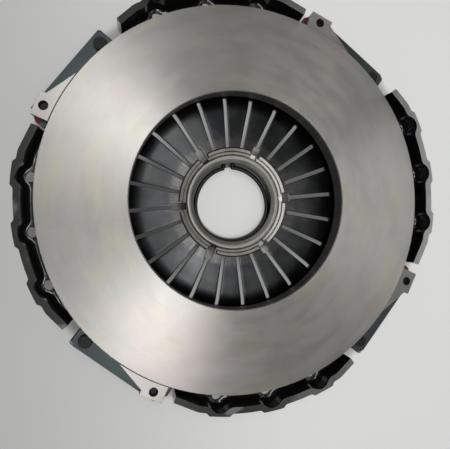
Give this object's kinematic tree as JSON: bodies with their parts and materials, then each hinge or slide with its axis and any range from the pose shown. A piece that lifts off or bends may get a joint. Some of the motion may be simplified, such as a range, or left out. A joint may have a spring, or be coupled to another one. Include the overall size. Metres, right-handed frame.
{
  "type": "clutch pressure plate",
  "caption": "Pull-type diaphragm clutch cover assembly: pressed cover with scalloped rim, cast pressure plate on leaf straps, fingered spring and release ring.",
  "frame": {"origin": "centre of the cover's back, on which the clutch stands", "axes": "+Z along the crankshaft axis towards the flywheel; the middle bolts of the four bolt groups lie on +X, +Y, -X and -Y"},
  "size_m": [0.475, 0.475, 0.072],
  "materials": {
    "black_paint": "glossy black paint on pressed steel, rim land bare",
    "machined_iron": "turned friction face, bare machined lugs, rough cast back",
    "spring_steel": "dark phosphated spring steel",
    "strap_steel": "blued spring strip",
    "fastener_steel": "dark zinc flake",
    "forged_steel": "hardened steel, oiled",
    "wire_steel": "hard drawn wire"
  },
  "bodies": {
    "cover": {"cover": "black_paint", "cover_fulcrum_ring": "wire_steel", "strap_rivets": "fastener_steel", "drive_strap_1_leaf_1": "strap_steel", "drive_strap_1_leaf_2": "strap_steel", "drive_strap_1_leaf_3": "strap_steel", "drive_strap_1_leaf_4": "strap_steel", "drive_strap_2_leaf_1": "strap_steel", "drive_strap_2_leaf_2": "strap_steel", "drive_strap_2_leaf_3": "strap_steel", "drive_strap_2_leaf_4": "strap_steel", "drive_strap_3_leaf_1": "strap_steel", "drive_strap_3_leaf_2": "strap_steel", "drive_strap_3_leaf_3": "strap_steel", "drive_strap_3_leaf_4": "strap_steel", "drive_strap_4_leaf_1": "strap_steel", "drive_strap_4_leaf_2": "strap_steel", "drive_strap_4_leaf_3": "strap_steel", "drive_strap_4_leaf_4": "strap_steel", "diaphragm_spring": "spring_steel"},
    "pressure_plate": {"pressure_plate": "machined_iron", "lug_bolts": "fastener_steel", "lug_bolt_washers": "fastener_steel"},
    "release": {"release_ring": "forged_steel", "release_thrust_ring": "forged_steel", "bearing_snap_ring": "wire_steel"}
  },
  "joints": [
    {"name": "plate_travel", "type": "slide", "parent": "cover", "child": "pressure_plate", "axis": [0, 0, 1], "range_m": [-0.0054, 0], "stiffness_N_per_m": 100000, "springref_m": 0.01, "deforming": ["drive_strap_1_leaf_1", "drive_strap_1_leaf_2", "drive_strap_1_leaf_3", "drive_strap_1_leaf_4", "drive_strap_2_leaf_1", "drive_strap_2_leaf_2", "drive_strap_2_leaf_3", "drive_strap_2_leaf_4", "drive_strap_3_leaf_1", "drive_strap_3_leaf_2", "drive_strap_3_leaf_3", "drive_strap_3_leaf_4", "drive_strap_4_leaf_1", "drive_strap_4_leaf_2", "drive_strap_4_leaf_3", "drive_strap_4_leaf_4", "diaphragm_spring"]},
    {"name": "release_travel", "type": "slide", "parent": "pressure_plate", "child": "release", "axis": [0, 0, 1], "range_m": [-0.0225, 0]}
  ],
  "couplings": [
    {"joint": "release_travel", "follows": "plate_travel", "ratio": 4.15}
  ]
}
